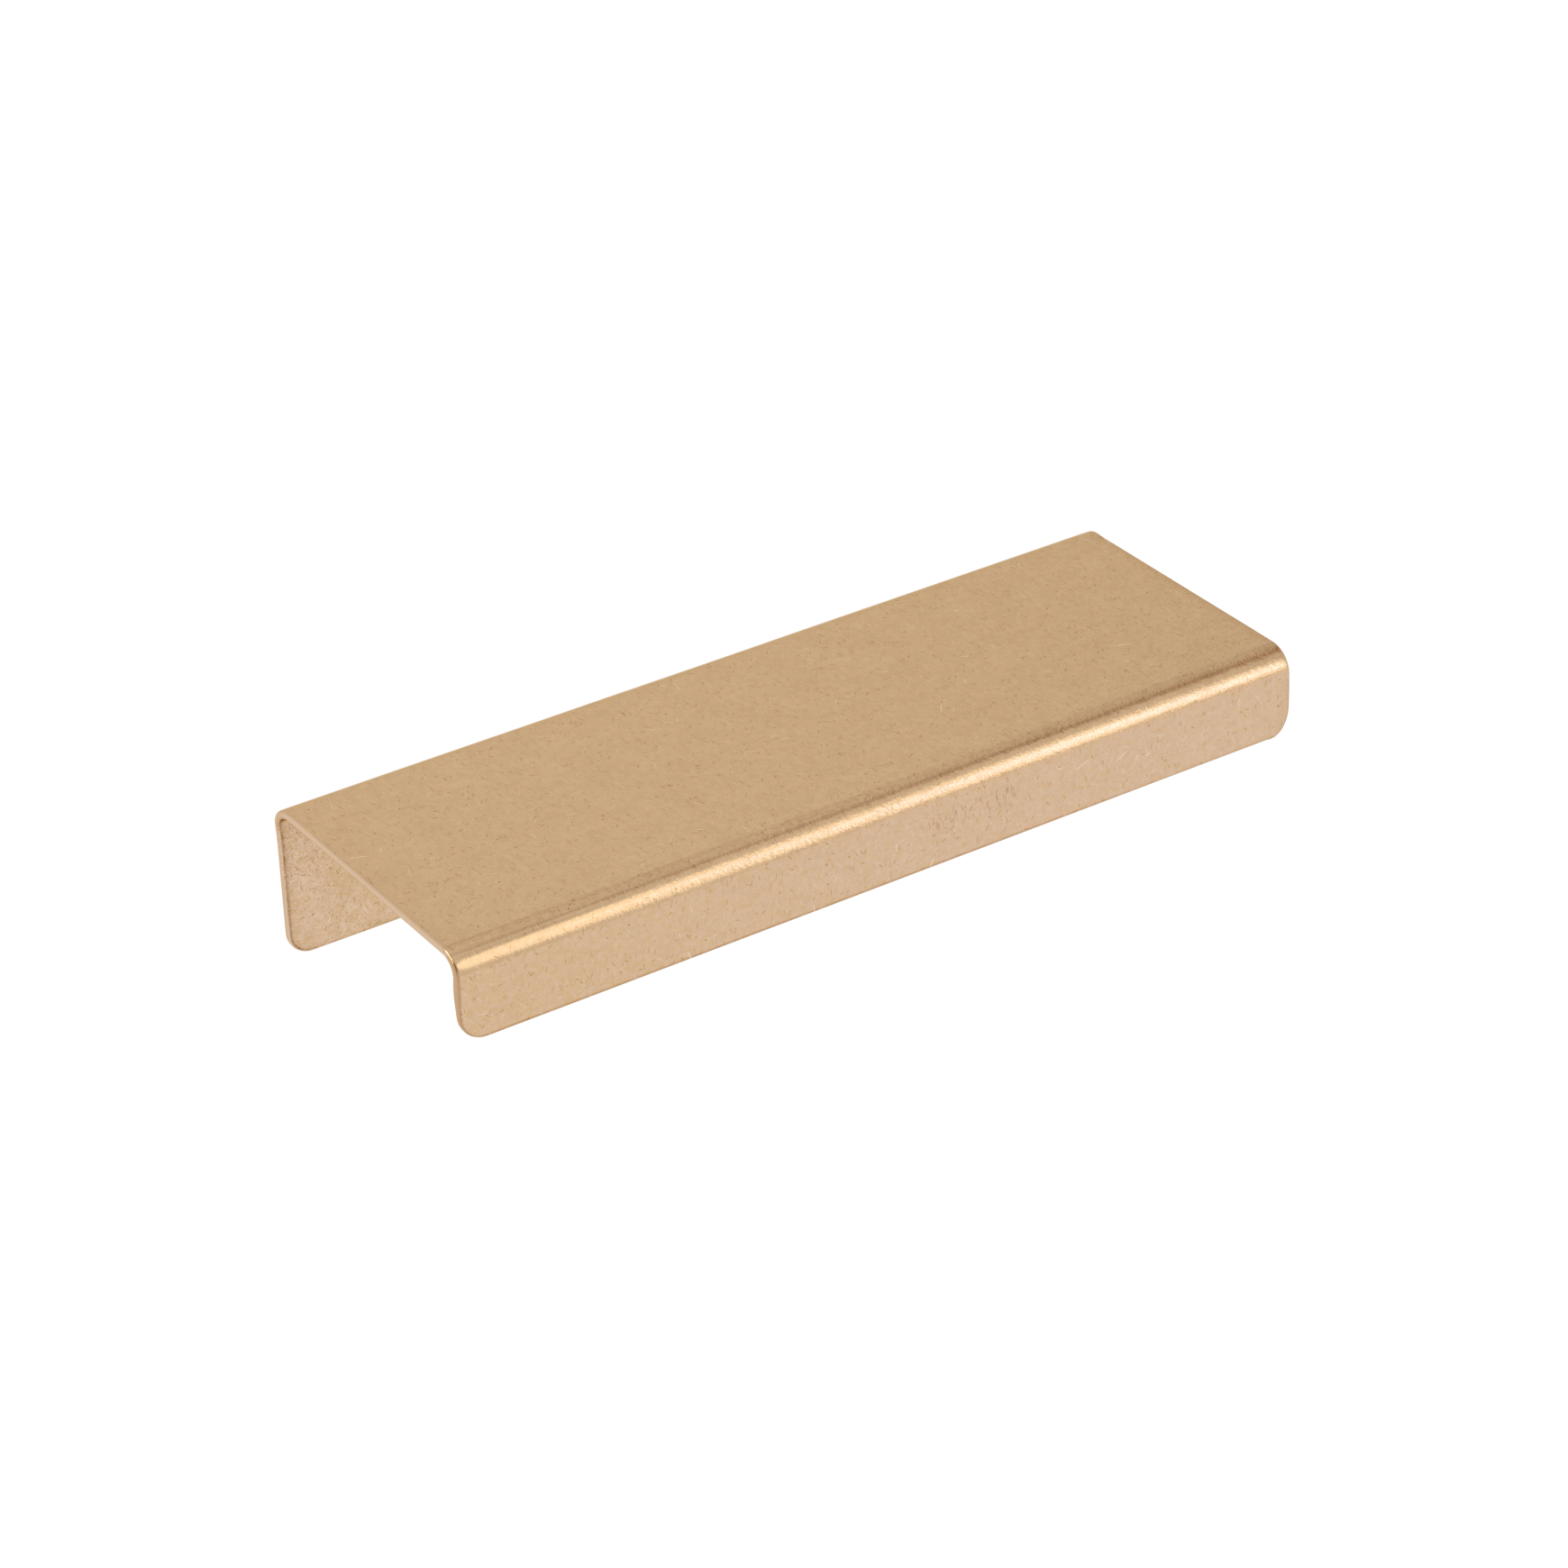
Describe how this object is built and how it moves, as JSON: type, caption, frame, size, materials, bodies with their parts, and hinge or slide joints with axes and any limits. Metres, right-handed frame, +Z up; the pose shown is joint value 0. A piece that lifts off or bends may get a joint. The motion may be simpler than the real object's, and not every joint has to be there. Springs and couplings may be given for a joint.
{
  "type": "cabinet pull",
  "caption": "Edge pull folded from one brass sheet: flat top plate, short finger lip in front, taller screw flange behind, with rounded corners and softened edges.",
  "frame": {"origin": "midway between the two screw holes, on the flange's inside face, which lies against the back of the door or drawer front", "axes": "+X along the pull, +Y to its back, away from the panel, +Z up, with the lip and the flange hanging down from the plate"},
  "size_m": [0.12, 0.043, 0.0216],
  "materials": {
    "raw_brass": "tumbled, unlacquered, matt with fine scratches"
  },
  "bodies": {
    "root": {"pull": "raw_brass"}
  },
  "joints": []
}
